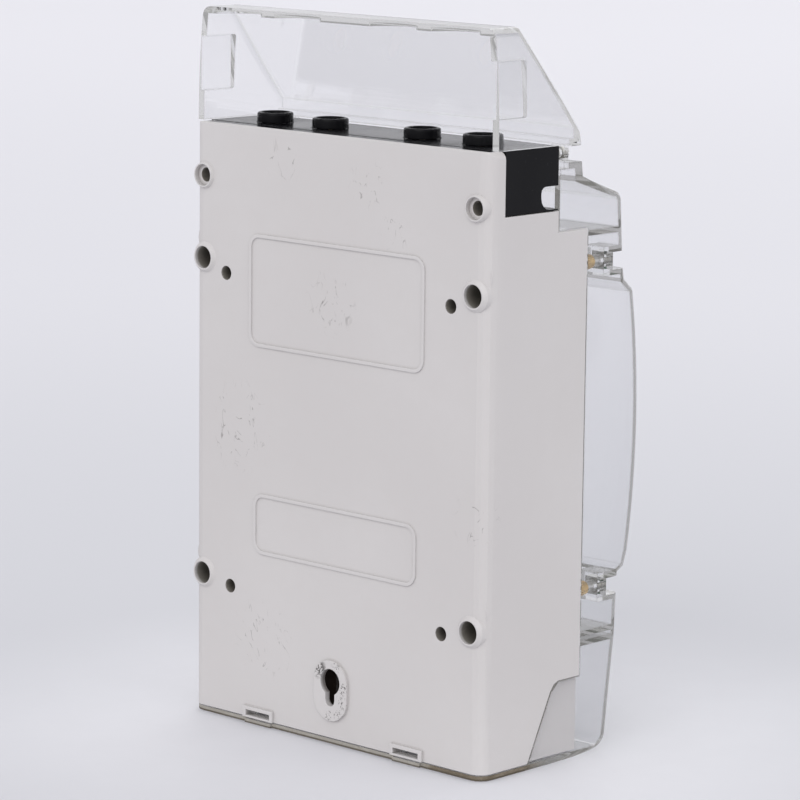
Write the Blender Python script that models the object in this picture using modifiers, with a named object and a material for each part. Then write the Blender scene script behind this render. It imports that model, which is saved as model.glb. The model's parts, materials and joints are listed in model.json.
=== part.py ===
"""Prepaid single-phase electricity meter for wall mounting.

The meter stands on the end that is uppermost in service, with its cable end up.
X runs across the meter, the wall side faces +Y and the cable end +Z. The origin is
the middle of the footprint. Constants are millimetres; the scene is in metres.
A "depth" is a distance forward of the wall face, toward -Y.
"""

import math

import bmesh
import bpy
from mathutils import Matrix, Vector

MM = 0.001
GAP = 0.3

# Overall
HALF_W = 66.0
FRONT_DEPTH = 74.9
RIM_PROUD = 1.1
BACK_Y = (FRONT_DEPTH - RIM_PROUD) / 2
BASE_TOP = 200.0
BASE_BOTTOM = 2.0

# Rear housing
WALL = 2.5
RIM_DEPTH = 46.8
BACK_CORNER_R = 4.5
TOP_CORNER_R = 2.6
NOTCH_DEPTH = 7.4
NOTCH_Z = 179.5
STEP_DEPTH = 32.7
STEP_Z = 172.7
FOOT_CUT_Z = 27.0
FOOT_CUT_DEPTH = 34.2
FOOT_CUT_END = 22.1
TRAY_HALF_W = 63.6
TRAY_TOP = 34.0
CORNER_SCREW_X = 60.3
CORNER_SCREW_Z = (54.3, 161.2)
POST_R = 5.5
RIMMED_HOLE_X = 60.5
RIMMED_HOLE_Z = (48.1, 155.1)
RIMMED_HOLE_R = 3.75
RIM_TIP_R = 4.2
RIM_R = 5.3
SMALL_HOLES = ((48.0, 45.4), (50.4, 150.8))
SMALL_HOLE_R = 2.35
STEPPED_HOLE = (60.7, 182.5)
COLLAR_TIP_R = 4.05
COLLAR_R = 4.5
KEY_Z = 21.1
KEY_R = 4.4
KEY_SLOT_HALF = 2.1
KEY_SLOT_END = 12.9
KEY_PAD = (7.5, 8.0, 28.3)
KEY_PLATE = 1.1
PANEL = (39.4, 127.9, 165.2)
PLATE_PANEL = (36.9, 58.5, 78.9)
PANEL_R = 4.4
PANEL_RIB = 1.15
PANEL_PROUD = 0.45
HOOK_X = (28.3, 39.5)
HOOK_Z = (2.7, 4.6)
BOARD_POSTS = ((52.0, 38.0), (52.0, 140.0))

# Terminal block
POLE_X = (46.0, 20.5, -20.5, -46.0)
POLE_DEPTH = 18.1
BAR_HALF = 6.5
BAR_Z = (176.0, 198.6)
CABLE_R = 4.3
CLAMP_Z = (184.0, 196.2)
POCKET_Z = (180.2, 187.6)
POCKET_DEPTH = 24.7
SLEEVE_R = 6.0
SLEEVE_TOP = 203.3
SEAL_X = 60.0
SEAL_Z = 197.0

# Covers
COVER_WALL = 2.2
SKIRT_DEPTH = RIM_DEPTH + GAP
END_WALL = 1.7
FOOT_R = 6.0
EDGE_R = 3.0
PANEL_MID_Z = 108.0
PANEL_HALF_Z = 46.0
HOOD_BOTTOM = BASE_TOP + GAP
HOOD_TOP = 237.9
HOOD_REAR = 3.0
HOOD_HALF_W = 66.9
HOOD_DRAFT = 2.2
HOOD_LEVELS = (207.0, 214.0, 221.0, 228.0, 234.0)
KNOCKOUT_X = (48.0, 21.2)

# Inner parts
BOARD_DEPTH = (30.0, 31.6)
PLATE_DEPTH = (50.0, 60.4)
BUTTON_X = 10.0
BUTTON_Z = 104.0
LID_SWITCH = (20.0, 37.05)
BEARING = (-31.0, 143.0)


def fresh_scene():
    for obj in list(bpy.data.objects):
        bpy.data.objects.remove(obj, do_unlink=True)


def new_collection(name):
    made = bpy.data.collections.new(name)
    bpy.context.scene.collection.children.link(made)
    return made


def material(name, colour, roughness, metallic=0.0, alpha=1.0):
    made = bpy.data.materials.new(name)
    made.use_nodes = True
    shader = made.node_tree.nodes["Principled BSDF"]
    shader.inputs["Base Color"].default_value = (*colour, 1.0)
    shader.inputs["Roughness"].default_value = roughness
    shader.inputs["Metallic"].default_value = metallic
    shader.inputs["Alpha"].default_value = alpha
    return made


fresh_scene()
METER = new_collection("prepaid_meter")
CUTTERS = new_collection("cutters")

GREY = material("housing_grey", (0.60, 0.58, 0.56), 0.55)
BLACK = material("terminal_black", (0.012, 0.012, 0.014), 0.25)
CLEAR = material("clear_polycarbonate", (0.92, 0.94, 0.95), 0.08, alpha=0.25)
BRASS = material("brass", (0.72, 0.50, 0.22), 0.35, 1.0)
STEEL = material("zinc_steel", (0.62, 0.62, 0.60), 0.35, 1.0)
COPPER = material("copper", (0.75, 0.36, 0.22), 0.35, 1.0)
BOARD = material("board_green", (0.03, 0.18, 0.07), 0.5)
WHITE = material("plate_white", (0.80, 0.80, 0.78), 0.5)
DARK = material("component_black", (0.03, 0.03, 0.035), 0.5)
BLUE = material("component_blue", (0.05, 0.12, 0.35), 0.45)
GLASS = material("display_glass", (0.30, 0.36, 0.28), 0.15)
LIGHT = material("pulse_red", (0.60, 0.03, 0.03), 0.2)
RUBBER = material("button_grey", (0.25, 0.27, 0.30), 0.6)
CELL = material("cell_sleeve", (0.55, 0.50, 0.10), 0.4)


def at(x, depth, z):
    return Vector((x * MM, (BACK_Y - depth) * MM, z * MM))


def add_object(name, mesh, place, mat):
    obj = bpy.data.objects.new(name, mesh)
    obj.location = place
    METER.objects.link(obj)
    if mat is not None:
        mesh.materials.append(mat)
    return obj


def from_bmesh(name, bm, place, mat):
    bmesh.ops.recalc_face_normals(bm, faces=bm.faces)
    mesh = bpy.data.meshes.new(name)
    bm.to_mesh(mesh)
    bm.free()
    return add_object(name, mesh, place, mat)


def middle(span):
    return (span[0] + span[1]) / 2


def block(name, xs, depths, zs, mat=None):
    """A box between two x, two depths and two heights."""
    bm = bmesh.new()
    bmesh.ops.create_cube(bm, size=1.0)
    size = [abs(b - a) * MM for a, b in (xs, depths, zs)]
    bmesh.ops.scale(bm, vec=size, verts=bm.verts)
    return from_bmesh(name, bm, at(middle(xs), middle(depths), middle(zs)), mat)


TURNS = {
    "x": Matrix.Rotation(math.radians(90), 3, "Y"),
    "front": Matrix.Rotation(math.radians(90), 3, "X"),
    "z": Matrix.Identity(3),
}


def rod(name, centre, axis, radius, length, mat=None, segments=20, end_radius=None):
    """A cylinder or cone along x, along the depth ("front") or along z."""
    bm = bmesh.new()
    bmesh.ops.create_cone(
        bm,
        cap_ends=True,
        segments=segments,
        radius1=radius * MM,
        radius2=(end_radius or radius) * MM,
        depth=length * MM,
    )
    bmesh.ops.rotate(bm, matrix=TURNS[axis], verts=bm.verts)
    obj = from_bmesh(name, bm, at(*centre), mat)
    smooth(obj)
    return obj


def bore(name, x, z, depths, radius, mat=None, segments=20, end_radius=None):
    """A cylinder or cone along the depth, between two depths."""
    centre = (x, middle(depths), z)
    length = depths[1] - depths[0]
    return rod(name, centre, "front", radius, length, mat, segments, end_radius)


def turned(name, profile, place, axis, mat, steps=24, closed=False):
    """A profile of (radius, height) turned about its axis, outer side downward."""
    bm = bmesh.new()
    verts = [bm.verts.new((r * MM, 0, h * MM)) for r, h in profile]
    ends = verts[1:] + verts[:1] if closed else verts[1:]
    for a, b in zip(verts, ends):
        bm.edges.new((a, b))
    mesh = bpy.data.meshes.new(name)
    bm.to_mesh(mesh)
    bm.free()
    obj = add_object(name, mesh, place, mat)
    obj.rotation_euler = TURNS[axis].to_euler()
    turn = obj.modifiers.new("Turn", "SCREW")
    turn.steps = steps
    turn.render_steps = steps
    turn.use_merge_vertices = True
    turn.merge_threshold = 0.00001
    return obj


def smooth(obj):
    obj.data.shade_smooth()
    obj.data.set_sharp_from_angle(angle=math.radians(35))


def extruded(name, outline, facing, span, mat=None):
    """An outline given thickness. Facing "side": (depth, z) points across x.
    Facing "back": (x, z) points along the depth."""
    curve = bpy.data.curves.new(name + "_outline", "CURVE")
    curve.dimensions = "2D"
    curve.fill_mode = "BOTH"
    curve.extrude = abs(span[1] - span[0]) * MM / 2
    line = curve.splines.new("POLY")
    line.points.add(len(outline) - 1)
    for point, (across, up) in zip(line.points, outline):
        point.co = (across * MM, up * MM, 0, 1)
    line.use_cyclic_u = True
    guide = bpy.data.objects.new(name + "_outline", curve)
    METER.objects.link(guide)
    bm = mesh_of(guide)
    if facing == "side":
        turn = Matrix(((0, 0, -1), (-1, 0, 0), (0, 1, 0)))
        place = at(middle(span), 0, 0)
    else:
        turn = Matrix(((1, 0, 0), (0, 0, -1), (0, 1, 0)))
        place = at(0, middle(span), 0)
    bmesh.ops.rotate(bm, matrix=turn, verts=bm.verts)
    return from_bmesh(name, bm, place, mat)


def mesh_of(guide):
    """The solid of a curve as a welded mesh. The curve is removed."""
    bpy.context.view_layer.update()
    graph = bpy.context.evaluated_depsgraph_get()
    mesh = bpy.data.meshes.new_from_object(guide.evaluated_get(graph))
    bm = bmesh.new()
    bm.from_mesh(mesh)
    bmesh.ops.remove_doubles(bm, verts=bm.verts, dist=0.00001)
    bmesh.ops.dissolve_limit(bm, angle_limit=0.002, verts=bm.verts, edges=bm.edges)
    bpy.data.objects.remove(guide, do_unlink=True)
    return bm


def boolean(obj, tool, operation):
    METER.objects.unlink(tool)
    CUTTERS.objects.link(tool)
    tool.hide_render = True
    tool.display_type = "WIRE"
    made = obj.modifiers.new(operation.title() + " " + tool.name, "BOOLEAN")
    made.operation = operation
    made.solver = "EXACT"
    made.object = tool


def cut(obj, *tools):
    for tool in tools:
        boolean(obj, tool, "DIFFERENCE")


def join(obj, *tools):
    for tool in tools:
        boolean(obj, tool, "UNION")


def round_edges(obj, radius, segments, chosen):
    """Rounds the edges whose two ends both satisfy the rule."""
    bm = bmesh.new()
    bm.from_mesh(obj.data)
    edges = [e for e in bm.edges if chosen(e.verts[0].co, e.verts[1].co)]
    bmesh.ops.bevel(
        bm, geom=edges, offset=radius * MM, segments=segments, profile=0.5, affect="EDGES"
    )
    bm.to_mesh(obj.data)
    bm.free()


def arc(centre, radius, start, end, steps):
    """Points on a circle between two angles in degrees."""
    points = []
    for i in range(steps + 1):
        angle = math.radians(start + (end - start) * i / steps)
        points.append((centre[0] + radius * math.cos(angle), centre[1] + radius * math.sin(angle)))
    return points


def rounded_rect(half_w, low, high, radius, steps=3):
    inner = half_w - radius
    points = arc((inner, high - radius), radius, 90, 0, steps)
    points += arc((inner, low + radius), radius, 0, -90, steps)
    points += arc((-inner, low + radius), radius, 270, 180, steps)
    return points + arc((-inner, high - radius), radius, 180, 90, steps)


def both_sides(make, name):
    """Calls a maker for the left and the right side."""
    for tag, side in (("_left", 1), ("_right", -1)):
        make(name + tag, side)


# ---------------------------------------------------------------- rear housing


def housing_shell():
    shell = block(
        "rear_housing", (-HALF_W, HALF_W), (0, RIM_DEPTH), (BASE_BOTTOM, BASE_TOP), GREY
    )
    round_edges(
        shell, BACK_CORNER_R, 3, lambda a, b: a.y > 0 and b.y > 0 and abs(a.x - b.x) < MM
    )
    inner = HALF_W - WALL
    cut(
        shell,
        block("inside", (-inner, inner), (WALL, 60), (4.5, 205)),
        block("notch", (-70, 70), (NOTCH_DEPTH, 60), (NOTCH_Z, 205)),
        block("step", (-70, 70), (STEP_DEPTH, 60), (STEP_Z, 206)),
        foot_cut(),
    )
    for side in (1, -1):
        cut(shell, top_corner(side))
    return shell


def top_corner(side):
    """What lies outside the rounding of the rear plate's upper corner."""
    middle_x = HALF_W - TOP_CORNER_R
    middle_z = BASE_TOP - TOP_CORNER_R
    outline = [(HALF_W + 1, BASE_TOP + 1), (middle_x, BASE_TOP + 1)]
    outline += arc((middle_x, middle_z), TOP_CORNER_R, 90, 0, 4)
    outline.append((HALF_W + 1, middle_z))
    return extruded(f"top_corner_{side}", [(side * x, z) for x, z in outline], "back", (-5, 60))


def foot_cut():
    """Slope at the lower front of both sides, rounded at its inner corner."""
    slope = (FOOT_CUT_DEPTH - FOOT_CUT_END) / (FOOT_CUT_Z - BASE_BOTTOM)
    low = -5.0
    foot = FOOT_CUT_END - slope * (BASE_BOTTOM - low)
    near = FOOT_CUT_DEPTH - slope * 3.0
    outline = [
        (foot, low),
        (near, FOOT_CUT_Z - 3.0),
        (FOOT_CUT_DEPTH + 0.2, FOOT_CUT_Z - 0.9),
        (FOOT_CUT_DEPTH + 2.4, FOOT_CUT_Z),
        (60, FOOT_CUT_Z),
        (60, low),
    ]
    return extruded("foot_cut", outline, "side", (-70, 70))


def foot_tray(shell):
    """Inset lower walls that the front cover's skirt passes over."""
    tray = block("tray", (-TRAY_HALF_W, TRAY_HALF_W), (1.0, RIM_DEPTH), (BASE_BOTTOM + 0.1, TRAY_TOP))
    cut(tray, block("tray_inside", (-61, 61), (-5, 60), (4.3, 40)))
    join(shell, tray)


def corner_posts(shell):
    for side in (1, -1):
        for n, z in enumerate(CORNER_SCREW_Z):
            tag = f"_{side}_{n}"
            join(shell, bore("post" + tag, side * CORNER_SCREW_X, z, (2, RIM_DEPTH - 0.1), POST_R))
            cut(shell, bore("post_hole" + tag, side * CORNER_SCREW_X, z, (39, 60), 3.4, segments=16))


def board_posts(shell):
    for side in (1, -1):
        for n, (x, z) in enumerate(BOARD_POSTS):
            tag = f"_{side}_{n}"
            top = BOARD_DEPTH[0] - GAP
            join(shell, bore("board_post" + tag, side * x, z, (2, top), 3.5, segments=12))
            cut(shell, bore("board_hole" + tag, side * x, z, (20, 40), 1.5, segments=12))


def rear_holes(shell):
    for side in (1, -1):
        for n, z in enumerate(RIMMED_HOLE_Z):
            tag = f"_{side}_{n}"
            x = side * RIMMED_HOLE_X
            join(shell, raised_rim("rim" + tag, x, z, RIM_TIP_R, RIM_R, 9.5))
            cut(shell, bore("rim_hole" + tag, x, z, (-3, 8), RIMMED_HOLE_R, segments=24))
        for n, (x, z) in enumerate(SMALL_HOLES):
            tag = f"_small_{side}_{n}"
            join(shell, bore("boss" + tag, side * x, z, (2, 7.5), 3.8, segments=16))
            cut(shell, bore("boss_hole" + tag, side * x, z, (-3, 6), SMALL_HOLE_R, segments=16))
        x, z = STEPPED_HOLE
        collar = raised_rim(f"collar_{side}", side * x, z, COLLAR_TIP_R, COLLAR_R, NOTCH_DEPTH)
        join(shell, collar)
        cut(shell, bore(f"counterbore_{side}", side * x, z, (-3, 0.8), 3.6, segments=24))
        cut(shell, bore(f"collar_hole_{side}", side * x, z, (-3, 12), 2.35, segments=20))


def raised_rim(name, x, z, tip_radius, radius, end):
    """A boss whose proud end slopes in to a narrower tip."""
    tip = bore(name, x, z, (-RIM_PROUD, 0.1), tip_radius, segments=24, end_radius=radius)
    bm = bmesh.new()
    bm.from_mesh(tip.data)
    low = min(vert.co.y for vert in bm.verts)
    base = [face for face in bm.faces if all(abs(v.co.y - low) < 0.001 * MM for v in face.verts)]
    grown = bmesh.ops.extrude_face_region(bm, geom=base)["geom"]
    moved = [item for item in grown if isinstance(item, bmesh.types.BMVert)]
    bmesh.ops.translate(bm, vec=(0, (0.1 - end) * MM, 0), verts=moved)
    bmesh.ops.delete(bm, geom=base, context="FACES")
    bm.to_mesh(tip.data)
    bm.free()
    return tip


def keyhole(shell):
    half, low, high = KEY_PAD
    join(
        shell,
        extruded("key_pad", rounded_rect(half, low, high, half - 0.1, 6), "back", (-RIM_PROUD, 1)),
        block("key_box", (-10.5, 10.5), (1.5, 13), (6, 31.5)),
    )
    cut(
        shell,
        block("key_room", (-9, 9), (KEY_PLATE, 11.5), (7.5, 30)),
        bore("key_round", 0, KEY_Z, (-3, 5), KEY_R, segments=24),
        key_slot(),
    )


def key_slot():
    low = KEY_SLOT_END + KEY_SLOT_HALF
    outline = arc((0, low), KEY_SLOT_HALF, 180, 360, 6)
    outline += [(KEY_SLOT_HALF, KEY_Z), (-KEY_SLOT_HALF, KEY_Z)]
    return extruded("key_slot", outline, "back", (-4, 6))


def panels(shell):
    """Two blank panels on the wall face, each framed by a low rib."""
    for name, (half, low, high) in (("panel", PANEL), ("plate_panel", PLATE_PANEL)):
        frame = rounded_rect(half, low, high, PANEL_R, 5)
        join(shell, extruded(name + "_frame", frame, "back", (-PANEL_PROUD, 0.5)))
        low += PANEL_RIB
        high -= PANEL_RIB
        inside = rounded_rect(half - PANEL_RIB, low, high, PANEL_R - PANEL_RIB, 5)
        cut(shell, extruded(name, inside, "back", (-5, 0.05)))


def hook_slots(shell):
    x0, x1 = HOOK_X
    for side in (1, -1):
        span = (side * (x0 - 1.3), side * (x1 + 1.5))
        join(shell, block(f"hook_pad_{side}", span, (-1.0, 1.0), (BASE_BOTTOM + 0.05, 5.8)))
        slot = (side * x0, side * x1)
        cut(shell, block(f"hook_slot_{side}", slot, (-3, 6), HOOK_Z))
        cut(shell, block(f"hook_path_{side}", slot, (WALL, 60), (0, 4.9)))


def rear_housing():
    shell = housing_shell()
    foot_tray(shell)
    corner_posts(shell)
    board_posts(shell)
    rear_holes(shell)
    keyhole(shell)
    panels(shell)
    hook_slots(shell)


# -------------------------------------------------------------- terminal block


def terminal_block():
    body = block("terminal_block", (-63.2, 63.2), (9.0, 33.4), (172.0, 199.95), BLACK)
    join(
        body,
        block("block_wings", (-65.6, 65.6), (NOTCH_DEPTH + GAP, STEP_DEPTH), (NOTCH_Z + GAP, BASE_TOP)),
        block("block_lip", (-63.1, 63.1), (2.9, 10), (196, 199.9)),
    )
    for pole, x in enumerate(POLE_X):
        pole_cuts(body, pole, x)
    for side in (1, -1):
        cut(body, extruded(f"pocket_{side}", pocket_outline(), "side", (side * 55, side * 70)))
        cut(body, bore(f"seal_hole_{side}", side * SEAL_X, SEAL_Z, (24, 40), 1.8, segments=12))


def pole_cuts(body, pole, x):
    half = BAR_HALF + GAP
    depths = (POLE_DEPTH - half, POLE_DEPTH + half)
    cut(
        body,
        block(f"bar_room_{pole}", (x - half, x + half), depths, (170, BAR_Z[1] + GAP)),
        rod(f"cable_hole_{pole}", (x, POLE_DEPTH, 200), "z", CABLE_R + GAP, 10),
        rod(f"sleeve_seat_{pole}", (x, POLE_DEPTH, 202.7), "z", SLEEVE_R + GAP, 6, segments=24),
    )
    for n, z in enumerate(CLAMP_Z):
        cut(body, bore(f"clamp_hole_{pole}_{n}", x, z, (23, 40), 2.2, segments=12))
        cut(body, bore(f"clamp_seat_{pole}_{n}", x, z, (30.6, 41), 2.9, segments=16))


def pocket_outline():
    """Open-fronted side pocket with a rounded rear end."""
    low, high = POCKET_Z
    big = 4.0
    small = 2.0
    outline = [(40, low), (POCKET_DEPTH + big, low)]
    outline += arc((POCKET_DEPTH + big, low + big), big, 270, 180, 4)[1:]
    outline += arc((POCKET_DEPTH + small, high - small), small, 180, 90, 3)
    return outline + [(40, high)]


def cable_sleeve(name, x):
    top = SLEEVE_TOP - BASE_TOP
    profile = [
        (CABLE_R + 0.2, top - 0.3),
        (CABLE_R + 0.5, top),
        (SLEEVE_R - 0.6, top),
        (SLEEVE_R - 0.15, top - 0.2),
        (SLEEVE_R, top - 0.7),
        (SLEEVE_R, 0),
        (CABLE_R + 0.2, 0),
    ]
    turned(name, profile, at(x, POLE_DEPTH, BASE_TOP + 0.05), "z", BLACK, closed=True)


def terminal_bar(name, x):
    depths = (POLE_DEPTH - BAR_HALF, POLE_DEPTH + BAR_HALF)
    bar = block(name, (x - BAR_HALF, x + BAR_HALF), depths, BAR_Z, BRASS)
    cut(bar, rod(name + "_bore", (x, POLE_DEPTH, 188), "z", CABLE_R, 40))
    for n, z in enumerate(CLAMP_Z):
        cut(bar, bore(f"{name}_thread_{n}", x, z, (POLE_DEPTH, 30), 2.1, segments=12))


# ------------------------------------------------------------------- fasteners


def screw_mesh(head_r, head_h, shank_r, shank_l, slot):
    """One slotted screw, its head from height 0 up and its shank below."""
    profile = [
        (0, head_h),
        (head_r - 0.3, head_h),
        (head_r, head_h - 0.3),
        (head_r, 0),
        (shank_r, 0),
        (shank_r, 0.4 - shank_l),
        (shank_r - 0.4, -shank_l),
        (0, -shank_l),
    ]
    screw = turned("screw_master", profile, Vector(), "z", STEEL, steps=16)
    bm = bmesh.new()
    bmesh.ops.create_cube(bm, size=1.0)
    size = (3 * head_r * MM, slot * MM, head_h * MM)
    bmesh.ops.scale(bm, vec=size, verts=bm.verts)
    slot_place = Vector((0, 0, head_h * MM))
    tool = from_bmesh("screw_slot", bm, slot_place, None)
    cut(screw, tool)
    bpy.context.view_layer.update()
    graph = bpy.context.evaluated_depsgraph_get()
    mesh = bpy.data.meshes.new_from_object(screw.evaluated_get(graph))
    mesh.name = "screw"
    bpy.data.objects.remove(screw, do_unlink=True)
    bpy.data.objects.remove(tool, do_unlink=True)
    return mesh


def place_screw(name, mesh, x, depth, z):
    screw = bpy.data.objects.new(name, mesh)
    screw.location = at(x, depth, z)
    screw.rotation_euler = TURNS["front"].to_euler()
    METER.objects.link(screw)


def terminal_screws():
    mesh = screw_mesh(2.5, 2.2, 1.8, 7.7, 0.8)
    number = 1
    for x in POLE_X:
        for z in CLAMP_Z:
            place_screw(f"terminal_screw_{number}", mesh, x, 31.0, z)
            number += 1


def cover_screws():
    mesh = screw_mesh(2.6, 2.4, 1.7, 17.0, 0.8)
    number = 1
    for side in (1, -1):
        for z in CORNER_SCREW_Z:
            x = side * CORNER_SCREW_X
            place_screw(f"cover_screw_{number}", mesh, x, 59.8, z)
            brass_insert(f"brass_insert_{number}", x, z)
            number += 1


def brass_insert(name, x, z):
    """Threaded bush standing proud of its post, with a coned end."""
    profile = [(2.1, 13.6), (2.3, 13.6), (2.7, 12.4), (2.7, 0), (2.1, 0)]
    turned(name, profile, at(x, 40.0, z), "front", BRASS, steps=20, closed=True)


def seal_screws():
    mesh = screw_mesh(2.0, 2.2, 1.3, 13.5, 0.6)
    for tag, side in (("left", 1), ("right", -1)):
        place_screw(f"seal_screw_{tag}", mesh, side * SEAL_X, 39.9, SEAL_Z)


# ---------------------------------------------------------------------- covers


def cover_front_line():
    """The front cover's outer face from the cable end to the foot, (depth, z)."""
    line = [(43.3, 194.5), (43.9, 189.7), (63.2, 183.3), (64.7, 181.5), (66.1, 160.5)]
    line += [(67.0, 155.0), (70.0, 152.4)]
    rise = FRONT_DEPTH - 71.0
    for i in range(13):
        z = PANEL_MID_Z + PANEL_HALF_Z * (0.94 - i * 0.1567)
        t = (z - PANEL_MID_Z) / PANEL_HALF_Z
        line.append((71.0 + rise * (1 - t * t), z))
    line += [(69.5, 59.2), (66.6, 57.6)]
    line += [(65.8, 37.3), (62.8, 12.6)]
    return line + arc((62.0 - FOOT_R, FOOT_R), FOOT_R, 0, -90, 6)


def inset(line, distance):
    """The same line moved inward by a wall's thickness, with mitred corners."""
    moved = []
    for i, (d, z) in enumerate(line):
        before = line[max(i - 1, 0)]
        after = line[min(i + 1, len(line) - 1)]
        normals = []
        for a, b in ((before, (d, z)), ((d, z), after)):
            run = Vector((b[0] - a[0], b[1] - a[1]))
            if run.length > 0:
                run.normalize()
                normals.append(Vector((run.y, -run.x)))
        mean = sum(normals, Vector((0, 0))).normalized()
        reach = distance / max(mean.dot(normals[0]), 0.5)
        moved.append((d + mean.x * reach, z + mean.y * reach))
    return moved


def front_cover():
    outline = cover_front_line()
    outline += [(GAP, 0.0), (GAP, END_WALL), (FOOT_CUT_END + 0.4, END_WALL)]
    outline += [(FOOT_CUT_DEPTH - 1.0, FOOT_CUT_Z - 3.4), (FOOT_CUT_DEPTH + 2.6, FOOT_CUT_Z - GAP)]
    outline += [(SKIRT_DEPTH, FOOT_CUT_Z - GAP), (SKIRT_DEPTH, STEP_Z + GAP)]
    outline += [(STEP_DEPTH + GAP, STEP_Z + GAP), (STEP_DEPTH + GAP, 192.6), (37.0, 192.6), (37.0, 194.5)]
    cover = extruded("front_cover", outline, "side", (-HALF_W, HALF_W), CLEAR)
    round_edges(cover, EDGE_R, 3, is_front_side_edge)
    round_edges(cover, BACK_CORNER_R, 4, is_foot_corner)
    cut(cover, cover_cavity())
    for side in (1, -1):
        for n, z in enumerate(CORNER_SCREW_Z):
            screw_well(cover, side, n, z)
        hook_tab(cover, side)
    cover_ribs(cover)
    for tag, side in (("left", 1), ("right", -1)):
        cut(cover, bore(f"button_hole_{tag}", side * BUTTON_X, BUTTON_Z, (68, 80), 4.9, segments=20))


def is_front_side_edge(a, b):
    """True on the cover's front outline at either side."""
    for co in (a, b):
        depth = -co.y / MM
        if abs(co.x) < (HALF_W - 0.1) * MM:
            return False
        if depth < 43.6 or (depth < 48 and co.z < 185 * MM):
            return False
    return abs(a.x - b.x) < MM


def is_foot_corner(a, b):
    """True on the upright edges at the rear of the cover's end wall."""
    return max(-a.y, -b.y) < 2 * GAP * MM and abs(a.x - b.x) < MM


def cover_cavity():
    inner = inset(cover_front_line(), COVER_WALL)[1:-1]
    inner = [(d, z) for d, z in inner if 2.5 < z < 190]
    outline = [(37.5, 200), (37.5, 192.4), (41.4, 192.4)] + inner
    outline += [(inner[-1][0] - 1.2, 1.6), (-5, 1.6), (-5, 200)]
    half = TRAY_HALF_W + GAP
    return extruded("cover_cavity", outline, "side", (-half, half))


def screw_well(cover, side, n, z):
    """Screw seat in a pocket that is open to the front and to the side."""
    tag = f"_{side}_{n}"
    x = side * CORNER_SCREW_X
    join(cover, block("well" + tag, (side * 55.4, side * 65.0), (56.4, 65.0), (z - 4.7, z + 4.7)))
    cut(
        cover,
        block("well_room" + tag, (side * 57.2, side * 70), (59.5, 90), (z - 2.9, z + 2.9)),
        bore("well_hole" + tag, x, z, (45, 62), 2.1, segments=16),
    )


def hook_tab(cover, side):
    """Tab that stands in the housing's hook slot, and the lip below the slot."""
    join(
        cover,
        block(f"tab_{side}", (side * 29.0, side * 38.8), (2.9, 5.5), (0.9, 4.3)),
        block(f"tab_lip_{side}", (side * 28.0, side * 40.0), (-0.8, 2.0), (0.1, 1.5)),
    )


def cover_ribs(cover):
    for n, (low, reach) in enumerate(((36.2, 64.5), (39.3, 64.7), (170.2, 64.3))):
        join(cover, block(f"rib_{n}", (-64.6, 64.6), (48.0, reach), (low, low + 1.7)))


def hood_draft(obj):
    """Draws the hood's sides in toward its closed end, ever more steeply."""
    bm = bmesh.new()
    bm.from_mesh(obj.data)
    for level in HOOD_LEVELS:
        everything = bm.verts[:] + bm.edges[:] + bm.faces[:]
        bmesh.ops.bisect_plane(
            bm, geom=everything, plane_co=(0, 0, level * MM), plane_no=(0, 0, 1)
        )
    for vert in bm.verts:
        t = max(0.0, (vert.co.z / MM - HOOD_BOTTOM) / (HOOD_TOP - HOOD_BOTTOM))
        vert.co.x *= 1 - HOOD_DRAFT / HOOD_HALF_W * t * t
    bm.to_mesh(obj.data)
    bm.free()


def terminal_cover():
    lip = HOOD_BOTTOM - 0.6
    outline = [(HOOD_REAR, HOOD_BOTTOM), (HOOD_REAR, HOOD_TOP), (15.4, HOOD_TOP)]
    outline += [(41.3, 206.3), (41.7, lip), (37.3, lip), (37.3, HOOD_BOTTOM)]
    cover = extruded("terminal_cover", outline, "side", (-HOOD_HALF_W, HOOD_HALF_W), CLEAR)
    round_edges(cover, EDGE_R, 3, is_hood_side_edge)
    hood_draft(cover)
    cut(cover, hood_cavity())
    for side in (1, -1):
        side_knockout(cover, side)
        for n, x in enumerate(KNOCKOUT_X):
            centre = (side * x, 1.0, 233.3)
            cut(cover, rod(f"knockout_{side}_{n}", centre, "z", 10.5, 7, segments=24))
        seal_lug(cover, side)


def is_hood_side_edge(a, b):
    on_side = min(abs(a.x), abs(b.x)) > (HOOD_HALF_W - 0.1) * MM and abs(a.x - b.x) < MM
    high = min(a.z, b.z) > 203 * MM
    return on_side and high and max(-a.y, -b.y) > (HOOD_REAR + 1) * MM


def hood_cavity():
    outline = [(-5, 190), (-5, HOOD_TOP - 2.3), (14.7, HOOD_TOP - 2.3), (39.6, 205.1)]
    outline += [(39.6, 201.8), (37.6, 201.8), (37.6, 190)]
    half = HOOD_HALF_W - 2.6
    room = extruded("hood_cavity", outline, "side", (-half, half))
    hood_draft(room)
    return room


def side_knockout(cover, side):
    """Cable exit thinned from inside, left to be broken out."""
    outline = [(-1, 210), (16.0, 210), (16.5, 210.5), (16.5, 227.5), (16.0, 228), (-1, 228)]
    span = (side * 60.0, side * (HOOD_HALF_W - 1.3))
    tool = extruded(f"side_knockout_{side}", outline, "side", span)
    hood_draft(tool)
    cut(cover, tool)


def seal_lug(cover, side):
    join(cover, block(f"seal_lug_{side}", (side * 56.5, side * 63.5), (37.7, 39.6), (194.9, 201.0)))
    cut(cover, bore(f"seal_way_{side}", side * SEAL_X, SEAL_Z, (30, 45), 1.7, segments=12))


# ---------------------------------------------------------------- inner module


def main_board():
    board = block("main_board", (-57, 57), BOARD_DEPTH, (30, 166), BOARD)
    for side in (1, -1):
        for n, (x, z) in enumerate(BOARD_POSTS):
            cut(board, bore(f"board_way_{side}_{n}", side * x, z, (25, 40), 1.9, segments=12))
        for n, z in enumerate(CORNER_SCREW_Z):
            cut(board, bore(f"post_way_{side}_{n}", side * CORNER_SCREW_X, z, (25, 40), 7.0))


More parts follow.
